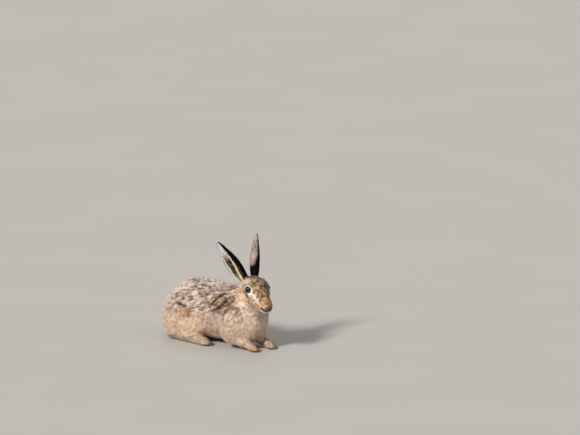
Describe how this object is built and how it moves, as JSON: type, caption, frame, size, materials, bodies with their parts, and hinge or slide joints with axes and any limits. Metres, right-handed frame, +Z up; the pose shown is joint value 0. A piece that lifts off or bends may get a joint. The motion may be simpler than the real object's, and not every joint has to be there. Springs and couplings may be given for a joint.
{
  "type": "brown hare model",
  "caption": "Life-size still model of a brown hare crouched at rest, head turned a little, long black-tipped ears raised.",
  "frame": {"origin": "on the floor, under the middle of the whole model's box", "axes": "+X forward along the body, +Y to the hare's left, +Z up"},
  "size_m": [0.3656, 0.1552, 0.2552],
  "materials": {
    "coat": "grizzled brown fur",
    "ear_coat": "short fur, dark in front and at the tip",
    "foot_coat": "short sandy fur",
    "tail_coat": "fur, black above and white below",
    "eye": "wet and glossy",
    "nose": "bare damp skin",
    "claw": "horn",
    "whisker": "stiff hair"
  },
  "bodies": {
    "root": {"ear_left": "ear_coat", "ear_right": "ear_coat", "eye_left": "eye", "eye_right": "eye", "forefoot_left": "foot_coat", "forefoot_right": "foot_coat", "foreleg_left": "coat", "foreleg_right": "coat", "head": "coat", "hindfoot_left": "foot_coat", "hindfoot_right": "foot_coat", "hindleg_left": "coat", "hindleg_right": "coat", "neck": "coat", "tail": "tail_coat", "torso": "coat"}
  },
  "joints": []
}
